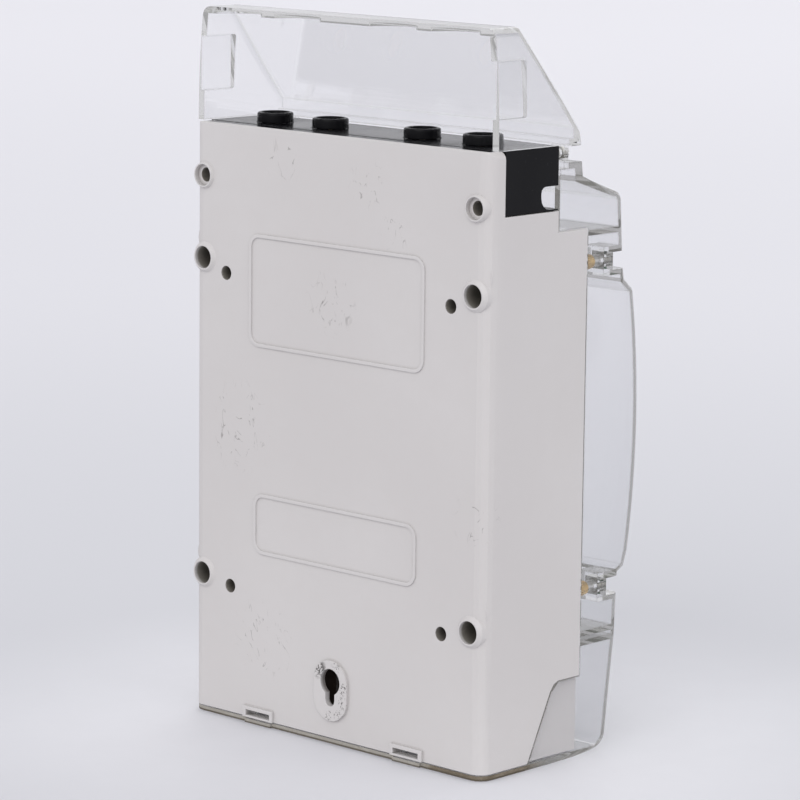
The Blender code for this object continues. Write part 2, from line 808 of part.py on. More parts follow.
def board_screws():
    mesh = screw_mesh(2.8, 2.0, 1.3, 8.0, 0.7)
    number = 1
    for side in (1, -1):
        for x, z in BOARD_POSTS:
            place_screw(f"board_screw_{number}", mesh, side * x, BOARD_DEPTH[1] + GAP, z)
            number += 1


def front_plate():
    """Raised label plate with the display window, on four legs."""
    plate = block("front_plate", (-47, 47), PLATE_DEPTH, (46, 152), WHITE)
    cut(
        plate,
        block("plate_inside", (-45.2, 45.2), (45, 58.8), (47.8, 150.2)),
        block("window", (-27, 27), (55, 65), (66, 88)),
        bore("port_way", -24, 133, (55, 65), 9.4),
        bore("light_way", 30, BUTTON_Z, (55, 65), 2.4, segments=12),
    )
    for side in (1, -1):
        cut(plate, bore(f"button_way_{side}", side * BUTTON_X, BUTTON_Z, (55, 65), 5.0))
        for n, z in enumerate((52, 146)):
            leg = block(f"leg_{side}_{n}", (side * 41, side * 46), (32, 55), (z - 3, z + 3))
            join(plate, leg)


def display():
    frame = block("display_frame", (-33, 33), (31.9, 58.4), (61, 93), WHITE)
    cut(
        frame,
        block("frame_room", (-31, 31), (33.5, 70), (63, 91)),
        block("frame_slot", (-10, 10), (30, 40), (59, 66)),
    )
    block("display_glass", (-30.6, 30.6), (55.4, 58.0), (63.4, 90.6), GLASS)


def push_button(name, side):
    """Cap, retaining flange and stem down to the switch on the board."""
    foot = 37.0
    profile = [
        (0, 74.0 - foot),
        (4.0, 74.0 - foot),
        (4.4, 73.5 - foot),
        (4.4, 70.6 - foot),
        (5.8, 70.6 - foot),
        (5.8, 69.2 - foot),
        (4.4, 69.2 - foot),
        (4.4, 62.6 - foot),
        (2.0, 61.0 - foot),
        (2.0, 0),
        (0, 0),
    ]
    turned(name, profile, at(side * BUTTON_X, foot, BUTTON_Z), "front", RUBBER)


def tact_switch(name, side):
    x = side * BUTTON_X
    switch = block(name, (x - 3, x + 3), (31.9, 34.6), (BUTTON_Z - 3, BUTTON_Z + 3), DARK)
    join(switch, bore(name + "_stem", x, BUTTON_Z, (34, 35.4), 1.7, segments=12))


def optical_port():
    """Ring that holds a meter reading head, with its lens floor."""
    profile = [(9.0, 3.2), (15.0, 3.2), (15.6, 2.6), (15.6, 0), (9.0, 0)]
    turned("optical_port", profile, at(-24, 60.7, 133), "front", STEEL, steps=32, closed=True)


def pulse_light():
    profile = [(0, 31.4), (1.2, 31.2), (2.0, 30.2), (2.0, 2), (2.5, 2), (2.5, 0), (0, 0)]
    turned("pulse_light", profile, at(30, 31.9, BUTTON_Z), "front", LIGHT, steps=16)


def lid_switch():
    x, z = LID_SWITCH
    body = block("lid_switch", (x - 4, x + 4), (31.9, 40.0), (z - 4, z + 4), DARK)
    cut(body, bore("plunger_way", x, z, (34, 45), 1.9, segments=12))
    profile = [(0, 13.3), (1.2, 13.3), (1.6, 12.9), (1.6, 0.3), (1.3, 0), (0, 0)]
    turned("lid_plunger", profile, at(x, 34.4, z), "front", WHITE, steps=12)


def relay():
    case = block("relay_case", (-47.8, -12), (8, 29.6), (124, 164), DARK)
    cut(case, block("relay_room", (-46, -14), (4, 24), (126, 162)))
    x, z = BEARING
    join(case, bore("relay_pin", x, z, (10, 26), 1.2, segments=12))
    lever = block("relay_armature", (x - 2, x + 2), (13, 21), (z - 12, z + 12), STEEL)
    join(lever, bore("armature_hub", x, z, (12.8, 21.2), 3.4, segments=16))
    cut(lever, bore("armature_bore", x, z, (5, 30), 1.6, segments=16))
    pusher = block("relay_contact", (x - 12, x + 12), (15, 19), (z + 12.6, z + 15.6), COPPER)
    join(pusher, block("contact_finger", (x + 8, x + 11), (15.5, 18.5), (z + 4, z + 13)))
    for side in (1, -1):
        ear = (x + side * 2.6, x + side * 4.2)
        join(pusher, block(f"contact_ear_{side}", ear, (15.4, 18.6), (z + 9, z + 13)))


def links():
    """Load conductors between the terminal bars and the parts below them."""
    low = 164.4
    high = BAR_Z[0] - GAP
    line = block("line_link", (-48.5, -43.5), (16, 19), (low, high), COPPER)
    join(line, block("line_foot", (-48.4, -43.6), (10, 17), (low + 0.1, low + 2)))
    shunt = block("shunt", (-23, -18), (17, 19), (low, high), COPPER)
    cut(shunt, block("shunt_waist", (-24, -21.5), (10, 25), (168, 171)))


def neutral_link():
    """U-shaped rod from one neutral bar down through the transformer to the other."""
    curve = bpy.data.curves.new("neutral_link", "CURVE")
    curve.dimensions = "3D"
    curve.bevel_depth = 2.2 * MM
    curve.bevel_resolution = 2
    curve.use_fill_caps = True
    x0, x1 = POLE_X[1], POLE_X[0]
    low, high, turn = 150.0, BAR_Z[0] - GAP, 5.0
    points = [(x0, high)] + arc((x0 + turn, low + turn), turn, 180, 270, 4)
    points += arc((x1 - turn, low + turn), turn, 270, 360, 4) + [(x1, high)]
    line = curve.splines.new("POLY")
    line.points.add(len(points) - 1)
    for point, (x, z) in zip(line.points, points):
        point.co = (x * MM, 0, z * MM, 1)
    guide = bpy.data.objects.new("neutral_guide", curve)
    METER.objects.link(guide)
    obj = from_bmesh("neutral_link", mesh_of(guide), at(0, POLE_DEPTH, 0), COPPER)
    smooth(obj)


def current_transformer():
    profile = [(4.6, 5), (10.4, 5), (11.0, 4.4), (11.0, -4.4), (10.4, -5), (4.6, -5)]
    middle_x = (POLE_X[0] + POLE_X[1]) / 2
    place = at(middle_x, POLE_DEPTH, 150)
    turned("current_transformer", profile, place, "x", BLUE, steps=24, closed=True)


def supply_parts():
    core = block("supply_transformer", (8, 34), (8, 29.6), (62, 86), DARK)
    join(core, block("supply_coil", (12, 30), (5, 25), (66, 82)))
    rod("capacitor", (-12, 20.5, 92), "z", 8.5, 26, BLUE, segments=20)
    rod("surge_varistor", (-2, 22, 122), "x", 7.0, 4.5, BLUE, segments=20)
    rod("backup_cell", (-36, 21.5, 78), "z", 7.5, 26, CELL, segments=20)


def board_parts():
    front = BOARD_DEPTH[1] + GAP
    block("processor", (-7, 7), (front, front + 1.5), (120, 134), DARK)
    radio = block("radio_module", (14, 38), (front, front + 2.8), (118, 138), STEEL)
    round_edges(radio, 0.8, 1, lambda a, b: abs(a.y - b.y) > MM)
    rod("antenna", (50.5, 36.5, 118), "z", 3.4, 34, DARK, segments=14)


def build():
    rear_housing()
    terminal_block()
    for number, x in enumerate(POLE_X, 1):
        cable_sleeve(f"cable_sleeve_{number}", x)
        terminal_bar(f"terminal_bar_{number}", x)
    terminal_screws()
    cover_screws()
    seal_screws()
    front_cover()
    terminal_cover()
    main_board()
    board_screws()
    front_plate()
    display()
    both_sides(push_button, "push_button")
    both_sides(tact_switch, "tact_switch")
    optical_port()
    pulse_light()
    lid_switch()
    relay()
    links()
    neutral_link()
    current_transformer()
    supply_parts()
    board_parts()


build()
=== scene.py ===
"""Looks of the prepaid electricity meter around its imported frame."""

import json
import math

import bmesh
import bpy
from mathutils import Matrix, Vector


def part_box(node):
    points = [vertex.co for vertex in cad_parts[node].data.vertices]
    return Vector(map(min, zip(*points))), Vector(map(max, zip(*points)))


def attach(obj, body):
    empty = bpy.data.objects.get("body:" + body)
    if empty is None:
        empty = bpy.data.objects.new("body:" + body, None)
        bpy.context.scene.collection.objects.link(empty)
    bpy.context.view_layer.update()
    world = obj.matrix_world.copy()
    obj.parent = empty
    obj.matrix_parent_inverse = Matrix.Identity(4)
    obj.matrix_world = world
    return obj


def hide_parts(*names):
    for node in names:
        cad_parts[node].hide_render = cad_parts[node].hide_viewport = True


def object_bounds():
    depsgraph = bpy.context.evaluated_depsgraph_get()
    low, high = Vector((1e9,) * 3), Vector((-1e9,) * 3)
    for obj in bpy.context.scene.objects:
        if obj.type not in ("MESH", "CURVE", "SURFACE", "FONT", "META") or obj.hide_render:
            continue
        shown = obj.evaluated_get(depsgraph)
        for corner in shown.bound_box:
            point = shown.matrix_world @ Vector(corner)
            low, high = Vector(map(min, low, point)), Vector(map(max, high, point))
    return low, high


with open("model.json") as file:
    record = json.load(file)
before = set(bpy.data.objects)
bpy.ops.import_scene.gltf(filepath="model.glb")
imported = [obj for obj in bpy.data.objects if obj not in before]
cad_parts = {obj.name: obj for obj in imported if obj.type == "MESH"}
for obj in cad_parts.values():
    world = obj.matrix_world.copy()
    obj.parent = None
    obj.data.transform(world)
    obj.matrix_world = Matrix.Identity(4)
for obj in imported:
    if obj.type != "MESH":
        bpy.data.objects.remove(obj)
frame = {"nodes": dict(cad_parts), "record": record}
cad_low, cad_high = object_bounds()

MM = 0.001
BLOCK_SETBACK = 2.9 * MM
WALL_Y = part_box("terminal_block")[1].y + BLOCK_SETBACK


def at(x, depth, z):
    """A point from millimetres: across, forward of the wall face, up."""
    return Vector((x * MM, WALL_Y - depth * MM, z * MM))


# ------------------------------------------------------------------- materials


# Outputs of the geometry node.
SMOOTH_NORMAL = 1
TRUE_NORMAL = 3


class Shader:
    """A material's node tree, with one short call per node."""

    def __init__(self, name):
        self.mat = bpy.data.materials.new(name)
        self.mat.use_nodes = True
        self.nodes = self.mat.node_tree.nodes
        self.links = self.mat.node_tree.links
        self.bsdf = self.nodes["Principled BSDF"]
        self.out = self.nodes["Material Output"]
        self.place = self.nodes.new("ShaderNodeTexCoord").outputs["Object"]

    def link(self, value, socket):
        if isinstance(value, bpy.types.NodeSocket):
            self.links.new(value, socket)
        elif value is not None:
            socket.default_value = value

    def node(self, kind, output=0, settings=(), **inputs):
        made = self.nodes.new(kind)
        for key, value in settings:
            setattr(made, key, value)
        for key, value in inputs.items():
            self.link(value, made.inputs[key.replace("_", " ")])
        return made.outputs[output]

    def stretched(self, scale):
        return self.node("ShaderNodeMapping", Vector=self.place, Scale=scale)

    def noise(self, scale, detail=4.0, rough=0.55, vector=None, distortion=0.0):
        return self.node(
            "ShaderNodeTexNoise",
            Vector=vector or self.place,
            Scale=scale,
            Detail=detail,
            Roughness=rough,
            Distortion=distortion,
        )

    def ramp(self, value, low, high, start=0.0, end=1.0):
        return self.node(
            "ShaderNodeMapRange",
            settings=(("interpolation_type", "SMOOTHSTEP"),),
            Value=value,
            From_Min=low,
            From_Max=high,
            To_Min=start,
            To_Max=end,
        )

    def math(self, operation, a, b=0.5):
        made = self.nodes.new("ShaderNodeMath")
        made.operation = operation
        self.link(a, made.inputs[0])
        self.link(b, made.inputs[1])
        return made.outputs[0]

    def mix(self, factor, a, b):
        made = self.nodes.new("ShaderNodeMix")
        made.data_type = "RGBA"
        self.link(factor, made.inputs[0])
        self.link(a if isinstance(a, bpy.types.NodeSocket) else (*a, 1), made.inputs[6])
        self.link(b if isinstance(b, bpy.types.NodeSocket) else (*b, 1), made.inputs[7])
        return made.outputs[2]

    def blend(self, factor, a, b):
        """A mix of two surface shaders."""
        made = self.nodes.new("ShaderNodeMixShader")
        for value, socket in zip((factor, a, b), made.inputs):
            self.link(value, socket)
        return made.outputs[0]

    def near(self, point, radius, soft):
        """1 within the radius of a point, falling to 0 over the soft band."""
        away = self.node(
            "ShaderNodeVectorMath",
            output=1,
            settings=(("operation", "DISTANCE"),),
        )
        made = away.node
        self.link(self.place, made.inputs[0])
        made.inputs[1].default_value = point
        return self.ramp(away, radius, radius + soft, 1.0, 0.0)

    def axes(self):
        """The point's x, y and z."""
        split = self.nodes.new("ShaderNodeSeparateXYZ")
        self.links.new(self.place, split.inputs[0])
        return split.outputs

    def depth(self):
        """How far a point lies forward of the wall face, in metres."""
        return self.math("SUBTRACT", WALL_Y, self.axes()[1])

    def highest(self, masks):
        """The largest of several masks at each point."""
        top = masks[0]
        for mask in masks[1:]:
            top = self.math("MAXIMUM", top, mask)
        return top

    def within_hole(self, x, z, radius):
        """1 inside a front-to-back cylinder and its mirror image, in millimetres."""
        here = self.axes()
        across = self.math("SUBTRACT", self.math("ABSOLUTE", here[0]), x * MM)
        up = self.math("SUBTRACT", here[2], z * MM)
        across_squared = self.math("MULTIPLY", across, across)
        up_squared = self.math("MULTIPLY", up, up)
        away_squared = self.math("ADD", across_squared, up_squared)
        return self.math("LESS_THAN", away_squared, (radius * MM) ** 2)

    def soft_normal(self, radius):
        """Normals that turn smoothly round every edge, as if it were that much rounded."""
        return self.node("ShaderNodeBevel", settings=(("samples", 4),), Radius=radius)

    def edges(self, radius):
        """0 on flat faces, rising to 1 on sharp edges."""
        round_normal = self.soft_normal(radius)
        flat = self.node("ShaderNodeNewGeometry", output=SMOOTH_NORMAL)
        made = self.nodes.new("ShaderNodeVectorMath")
        made.operation = "DOT_PRODUCT"
        self.links.new(round_normal, made.inputs[0])
        self.links.new(flat, made.inputs[1])
        return self.ramp(made.outputs[1], 0.995, 0.80, 0.0, 1.0)

    def openness(self, reach, samples):
        """1 in the open, falling to 0 where the piece's own walls crowd in."""
        return self.node(
            "ShaderNodeAmbientOcclusion",
            output=1,
            settings=(("samples", samples), ("only_local", True)),
            Distance=reach,
        )

    def bump(self, height, distance, strength=1.0, normal=None):
        return self.node(
            "ShaderNodeBump", Height=height, Distance=distance, Strength=strength, Normal=normal
        )

    def finish(self, colour, roughness, normal=None, metallic=0.0, **more):
        self.link(colour if isinstance(colour, bpy.types.NodeSocket) else (*colour, 1),
                  self.bsdf.inputs["Base Color"])
        self.link(roughness, self.bsdf.inputs["Roughness"])
        self.link(normal, self.bsdf.inputs["Normal"])
        self.bsdf.inputs["Metallic"].default_value = metallic
        for key, value in more.items():
            self.link(value, self.bsdf.inputs[key.replace("_", " ")])
        return self.mat


HOUSING_TONES = ((0.606, 0.582, 0.571), (0.636, 0.614, 0.603))
HOUSING_BLOTCH = (0.585, 0.557, 0.541)
SCRATCHED = (0.20, 0.185, 0.175)
GRIME = (0.040, 0.035, 0.030)
KEY_ROOM_SHADE = (0.085, 0.060, 0.050)
EDGE_HIGHLIGHT_AND_WEAR = (0.76, 0.75, 0.74)
HOLE_SHADE = (0.240, 0.222, 0.190)
DEEP_SHADE = (0.085, 0.077, 0.064)
CORNER_SHADE = (0.24, 0.215, 0.205)


def housing_plastic():
    """Warm light grey, scuffed, with dirt at the keyhole, painted shade in the keyhole's room, in
    the holes and in the corners, and painted highlight along the edges.
    """
    s = Shader("housing_plastic")
    broad = s.ramp(s.noise(14, 3), 0.3, 0.7)
    blotch = s.ramp(s.noise(55, 5), 0.35, 0.7)
    grain = s.noise(2600, 2)
    colour = s.mix(broad, *HOUSING_TONES)
    colour = s.mix(s.math("MULTIPLY", blotch, 0.25), colour, HOUSING_BLOTCH)
    scratch = scuffs(s)
    colour = s.mix(s.math("MULTIPLY", scratch, 0.75), colour, SCRATCHED)
    colour = s.mix(s.math("MULTIPLY", key_grime(s), 0.92), colour, GRIME)
    colour = s.mix(key_room(s), colour, KEY_ROOM_SHADE)
    # Painted highlight along every sharp edge, standing also for a little wear.
    edge = s.edges(0.7 * MM)
    colour = s.mix(s.math("MULTIPLY", edge, 0.55), colour, EDGE_HIGHLIGHT_AND_WEAR)
    colour = s.mix(hole_walls(s), colour, HOLE_SHADE)
    open_sky = s.openness(12.0 * MM, 8)
    colour = s.mix(s.ramp(open_sky, 0.03, 0.40), DEEP_SHADE, colour)
    # Painted shade in tight concave corners and along contact lines, where the piece's own walls
    # crowd in.
    in_corner = s.openness(1.1 * MM, 6)
    colour = s.mix(s.ramp(in_corner, 0.45, 0.92, 0.38, 0.0), colour, CORNER_SHADE)
    rough = s.ramp(grain, 0.2, 0.8, 0.46, 0.60)
    rough = s.math("SUBTRACT", rough, s.math("MULTIPLY", scratch, 0.12))
    normal = s.soft_normal(0.4 * MM)
    normal = s.bump(grain, 0.00003, 0.6, normal)
    normal = s.bump(s.math("MULTIPLY", scratch, -1.0), 0.00006, 0.6, normal)
    return s.finish(colour, rough, normal, Specular_IOR_Level=0.45)


# Holes in the wall face, (across, up, radius), each with its mirror image.
HOLES = (
    (60.5, 48.1, 3.8),
    (60.5, 155.1, 3.8),
    (48.0, 45.4, 2.4),
    (50.4, 150.8, 2.4),
    (60.7, 182.5, 2.4),
)


def hole_walls(s):
    """High on the walls and floors of the holes in the wall face."""
    inside = s.highest([s.within_hole(*hole) for hole in HOLES])
    below = s.ramp(s.depth(), -0.4 * MM, 0.6 * MM)
    return s.math("MULTIPLY", s.math("MULTIPLY", inside, below), 0.9)


# Worn patches of the housing, by their middle and reach.
SCUFFED = (
    (at(-14, 0, 186), 10 * MM),
    (at(2, 0, 146), 13 * MM),
    (at(32, 0, 30), 16 * MM),
    (at(44, 0, 100), 18 * MM),
    (at(-61, 0, 84), 10 * MM),
    (at(24, 0, 190), 10 * MM),
    (at(-26, 0, 172), 8 * MM),
)


def scuffs(s):
    """Thin scratches, only inside a few worn patches of the wall face."""
    lines = s.noise(95, 2, 0.5, s.stretched((1.0, 1.0, 0.55)), 2.4)
    off_line = s.math("ABSOLUTE", s.math("SUBTRACT", lines, 0.5))
    thin = s.ramp(off_line, 0.0, 0.016, 1.0, 0.0)
    broken = s.ramp(s.noise(300, 2), 0.48, 0.58)
    patches = s.highest([s.near(point, size * 0.35, size * 0.65) for point, size in SCUFFED])
    return s.math("MULTIPLY", s.math("MULTIPLY", thin, broken), patches)


PAD_PROUD = 1.1
KEY_MIDDLE_Z = 18.6
KEY_ROUND_Z = 21.1
KEY_ROUND_R = 4.5
# Dirty places round the pad's rim, (across, up).
RIM_SPOTS = ((-6.2, 19.5), (-6.0, 15.0), (-4.0, 10.5), (0.0, 9.4), (-3.0, 27.0))


def key_grime(s):
    """Dirt rubbed on to the raised keyhole pad, mostly beside the hole."""
    on_pad = s.ramp(s.depth(), -0.5 * MM, -0.8 * MM)
    fine = s.ramp(s.noise(1300, 4, 0.7), 0.56, 0.60)
    coarse = s.ramp(s.noise(800, 4, 0.75), 0.47, 0.52)
    beside = s.near(at(5.0, -PAD_PROUD, 24.8), 1.6 * MM, 2.6 * MM)
    rim = s.highest([s.near(at(x, -PAD_PROUD, z), 0.8 * MM, 2.2 * MM) for x, z in RIM_SPOTS])
    dirt = s.math("MAXIMUM", s.math("MULTIPLY", coarse, beside), s.math("MULTIPLY", fine, rim))
    return s.math("MULTIPLY", dirt, on_pad)


def key_room(s):
    """1 in the room behind the keyhole, which light hardly enters, rising down its round wall."""
    inside = s.ramp(s.depth(), 0.3 * MM, 1.4 * MM)
    around = s.near(at(0, 5.0, KEY_MIDDLE_Z), 15.5 * MM, 1.0 * MM)
    room = s.math("MULTIPLY", inside, around)
    rim = s.ramp(s.depth(), -1.0 * MM, 0.6 * MM, 0.0, 0.7)
    round_wall = s.math("MULTIPLY", rim, s.within_hole(0.0, KEY_ROUND_Z, KEY_ROUND_R))
    return s.math("MAXIMUM", room, round_wall)


def black_plastic():
    """Glossy black with flow marks and dust."""
    s = Shader("black_plastic")
    flow = s.noise(40, 3, 0.5, s.stretched((1.0, 1.0, 0.15)))
    specks = s.ramp(s.noise(1500, 3, 0.7), 0.66, 0.72)
    colour = s.mix(s.ramp(flow, 0.3, 0.7), (0.004, 0.004, 0.005), (0.008, 0.008, 0.009))
    colour = s.mix(s.math("MULTIPLY", specks, 0.25), colour, (0.10, 0.10, 0.10))
    rough = s.ramp(flow, 0.3, 0.7, 0.10, 0.24)
    normal = s.soft_normal(0.4 * MM)
    normal = s.bump(s.noise(90, 3, 0.5, s.stretched((0.12, 1.0, 1.0))), 0.00012, 0.7, normal)
    return s.finish(colour, rough, normal, Specular_IOR_Level=0.10)


# A ray that has met more faces than this is taken as trapped between them.
DEEP_RAY = 4.5
CLEAR_EDGE = 1.1 * MM


def clear_plastic(name, base, glow, edge_shade):
    """Clear polycarbonate: it bends light, its edges carry painted grey shade, shadows pass
    through it.
    """
    s = Shader(name)
    wipe = s.ramp(s.noise(60, 4, 0.6, s.stretched((1.0, 1.0, 0.4))), 0.5, 0.75)
    rough = s.math("ADD", s.math("MULTIPLY", wipe, 0.05), 0.03)
    scratch = s.ramp(s.noise(900, 3, 0.6, s.stretched((0.2, 1.0, 1.0))), 0.66, 0.70)
    rough = s.math("ADD", rough, s.math("MULTIPLY", scratch, 0.08))
    normal = s.bump(s.noise(120, 2), 0.00002, 0.25)
    # Painted shade: the colour turns grey toward every edge, for the dark outlines that edges
    # show.
    colour = s.mix(s.edges(CLEAR_EDGE), base, edge_shade)
    s.finish(colour, rough, normal, Transmission_Weight=1.0, IOR=1.50)
    path = s.nodes.new("ShaderNodeLightPath")
    light_way = s.node("ShaderNodeBsdfTransparent", Color=(0.95, 0.95, 0.95, 1))
    passes = s.math("MAXIMUM", path.outputs["Is Shadow Ray"], path.outputs["Is Diffuse Ray"])
    trapped = s.math("GREATER_THAN", path.outputs["Ray Depth"], DEEP_RAY)
    surface = s.blend(foot_film(s), s.bsdf.outputs[0], aged_film(s))
    # Rays trapped between the faces end in a painted glow.
    surface = s.blend(trapped, surface, painted_edge_glow(s, glow))
    surface = s.blend(passes, surface, light_way)
    s.links.new(surface, s.out.inputs["Surface"])
    volume = s.node("ShaderNodeVolumeAbsorption", Color=(0.50, 0.48, 0.40, 1), Density=5.0)
    s.links.new(volume, s.out.inputs["Volume"])
    return s.mat


def painted_edge_glow(s, glow):
    """Painted glow: an emission in the glow colour, standing for light trapped between the faces
    where it leaves at a cut edge.
    """
    onward = s.node("ShaderNodeBsdfTransparent", Color=(0.85, 0.85, 0.85, 1))
    haze = s.node("ShaderNodeEmission", Color=(*glow, 1), Strength=1.0)
    return s.blend(0.6, onward, haze)


def foot_film(s):
    """How cloudy the rear edge of the end wall has gone, where the meter stands on it."""
    low = s.ramp(s.axes()[2], 1.55 * MM, 1.75 * MM, 1.0, 0.0)
    rear = s.ramp(s.depth(), 18 * MM, 34 * MM, 1.0, 0.0)
    facing = s.nodes.new("ShaderNodeSeparateXYZ")
    s.links.new(s.node("ShaderNodeNewGeometry", output=TRUE_NORMAL), facing.inputs[0])
    upright = s.math("LESS_THAN", s.math("ABSOLUTE", facing.outputs[2]), 0.6)
    film = s.math("MULTIPLY", s.math("MULTIPLY", low, rear), 0.85)
    return s.math("MULTIPLY", film, upright)


def aged_film(s):
    """Cloudy beige, brown toward one corner of the foot, with painted shadow along its bottom
    edge where it meets the floor.
    """
    stain = s.ramp(s.noise(300, 4, 0.7), 0.30, 0.70)
    brown = s.mix(stain, (0.25, 0.21, 0.155), (0.15, 0.12, 0.080))
    beige = s.mix(stain, (0.44, 0.42, 0.375), (0.38, 0.355, 0.31))
    worn = s.ramp(s.axes()[0], -38 * MM, -46 * MM, 0.0, 1.0)
    # Painted shadow: dark along the bottom edge, where the foot meets the floor.
    contact_shadow = s.ramp(s.axes()[2], 0.45 * MM, 0.75 * MM, 0.85, 0.0)
    tone = s.mix(contact_shadow, s.mix(worn, beige, brown), (0.085, 0.068, 0.048))
    return s.node("ShaderNodeBsdfDiffuse", Color=tone)


def metal(name, bright, dull, rough):
    """Brushed metal with duller stains."""
    s = Shader(name)
    brushed = s.noise(900, 3, 0.6, s.stretched((1.0, 0.08, 1.0)))
    stain = s.ramp(s.noise(260, 4), 0.45, 0.7)
    colour = s.mix(s.math("MULTIPLY", stain, 0.6), bright, dull)
    rough_map = s.ramp(brushed, 0.2, 0.8, rough, rough + 0.18)
    normal = s.soft_normal(0.15 * MM)
    normal = s.bump(brushed, 0.00002, 0.5, normal)
    return s.finish(colour, rough_map, normal, metallic=1.0)


def circuit_board():
    """Green solder mask over a net of tracks, with bare pads."""
    s = Shader("circuit_board")
    tracks = s.node(
        "ShaderNodeTexVoronoi",
        settings=(("feature", "DISTANCE_TO_EDGE"), ("distance", "CHEBYCHEV")),
        Vector=s.place,
        Scale=260.0,
    )
    line = s.ramp(tracks, 0.02, 0.05, 1.0, 0.0)
    pads = s.node("ShaderNodeTexVoronoi", Vector=s.place, Scale=190.0)
    dot = s.ramp(pads, 0.10, 0.13, 1.0, 0.0)
    colour = s.mix(line, (0.012, 0.10, 0.035), (0.03, 0.20, 0.07))
    colour = s.mix(dot, colour, (0.62, 0.60, 0.52))
    normal = s.bump(line, 0.00004, 0.7)
    return s.finish(colour, s.ramp(dot, 0, 1, 0.32, 0.22), normal)


def moulded(name, light, dark, rough):
    """Plain moulded plastic with a fine grain, uneven tone and a painted highlight on its edges.
    """
    s = Shader(name)
    tone = s.ramp(s.noise(45, 4), 0.3, 0.7)
    grain = s.noise(1800, 2)
    colour = s.mix(tone, dark, light)
    # Painted highlight: the edges are lightened in colour.
    edge = s.edges(0.0004)
    edge_highlight = tuple(min(1.0, c * 1.25 + 0.02) for c in light)
    colour = s.mix(s.math("MULTIPLY", edge, 0.4), colour, edge_highlight)
    normal = s.soft_normal(0.3 * MM)
    normal = s.bump(grain, 0.00003, 0.5, normal)
    return s.finish(colour, s.ramp(grain, 0.2, 0.8, rough - 0.06, rough + 0.08), normal)


def liquid_crystal():
    """The display's grey-green glass."""
    s = Shader("liquid_crystal")
    sheen = s.noise(35, 2)
    colour = s.mix(s.ramp(sheen, 0.3, 0.7), (0.25, 0.30, 0.20), (0.31, 0.36, 0.25))
    return s.finish(colour, 0.12, s.bump(s.noise(900, 2), 0.000005, 0.4), Coat_Weight=0.6)


def light_guide():
    """Hazy clear red plastic."""
    s = Shader("light_guide")
    haze = s.noise(500, 2)
    colour = s.mix(haze, (0.75, 0.03, 0.02), (0.85, 0.10, 0.06))
    return s.finish(colour, s.ramp(haze, 0.3, 0.7, 0.10, 0.25), Transmission_Weight=0.5, IOR=1.49)


HOOD_CLEAR = clear_plastic(
    "clear_hood_plastic", (0.978, 0.979, 0.983), (0.62, 0.62, 0.63), (0.80, 0.80, 0.80)
)

MATERIALS = {
    "housing": housing_plastic(),
    "terminal_black": black_plastic(),
    "clear": clear_plastic(
        "clear_plastic", (0.957, 0.959, 0.967), (0.24, 0.235, 0.225), (0.55, 0.545, 0.53)
    ),
    "brass": metal("brass", (0.80, 0.56, 0.24), (0.45, 0.27, 0.10), 0.22),
    "steel": metal("plated_steel", (0.66, 0.65, 0.62), (0.42, 0.40, 0.36), 0.25),
    "copper": metal("copper", (0.83, 0.42, 0.27), (0.50, 0.22, 0.13), 0.25),
    "board": circuit_board(),
    "plate_white": moulded("plate_white", (0.78, 0.78, 0.76), (0.72, 0.72, 0.70), 0.45),
    "display": liquid_crystal(),
    "button": moulded("button_grey", (0.20, 0.22, 0.25), (0.15, 0.17, 0.20), 0.55),
    "component_black": moulded(
        "component_black", (0.030, 0.030, 0.032), (0.018, 0.018, 0.020), 0.42
    ),
    "component_blue": moulded("component_blue", (0.03, 0.09, 0.30), (0.02, 0.06, 0.22), 0.30),
    "cell": moulded("cell_sleeve", (0.62, 0.50, 0.06), (0.52, 0.40, 0.05), 0.30),
    "light": light_guide(),
}

for part in frame["record"]["subparts"]:
    mesh = frame["nodes"][part["node"]].data
    mesh.materials.clear()
    mesh.materials.append(MATERIALS[part["material_slot"]])


# ------------------------------------------------------------- refined mouldings

BODY_OF = {
    node: body
    for body, nodes in frame["record"]["behaviour"]["bodies"].items()
    for node in nodes
}
SLOT_OF = {part["node"]: part["material_slot"] for part in frame["record"]["subparts"]}


def stand_for(piece, node):
    """Shows the piece in place of the node, on the node's body and in its material."""
    bpy.context.scene.collection.objects.link(piece)
    piece.data.materials.clear()
    piece.data.materials.append(MATERIALS[SLOT_OF[node]])
    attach(piece, BODY_OF[node])
    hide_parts(node)


WELD = 0.005 * MM
FLAT = math.radians(1.0)
CREASE = math.radians(32)
ROUNDED_FROM = math.radians(34)


def refined(node, radius):
    """The node's own shape with its sharp edges rounded off."""
    bm = bmesh.new()
    bm.from_mesh(frame["nodes"][node].data)
    bmesh.ops.remove_doubles(bm, verts=bm.verts, dist=WELD)
    bmesh.ops.dissolve_limit(bm, angle_limit=FLAT, verts=bm.verts, edges=bm.edges)
    bmesh.ops.triangulate(bm, faces=[face for face in bm.faces if len(face.verts) > 4])
    mesh = bpy.data.meshes.new(node + "_moulding")
    bm.to_mesh(mesh)
    bm.free()
    mesh.shade_smooth()
    mesh.set_sharp_from_angle(angle=CREASE)
    piece = bpy.data.objects.new(node + "_moulding", mesh)
    soften = piece.modifiers.new("rounded edges", "BEVEL")
    soften.width = radius * MM
    soften.segments = 2
    soften.limit_method = "ANGLE"
    soften.angle_limit = ROUNDED_FROM
    soften.use_clamp_overlap = True
    level = piece.modifiers.new("flat faces stay flat", "WEIGHTED_NORMAL")
    level.mode = "FACE_AREA"
    level.keep_sharp = True
    level.weight = 60
    stand_for(piece, node)


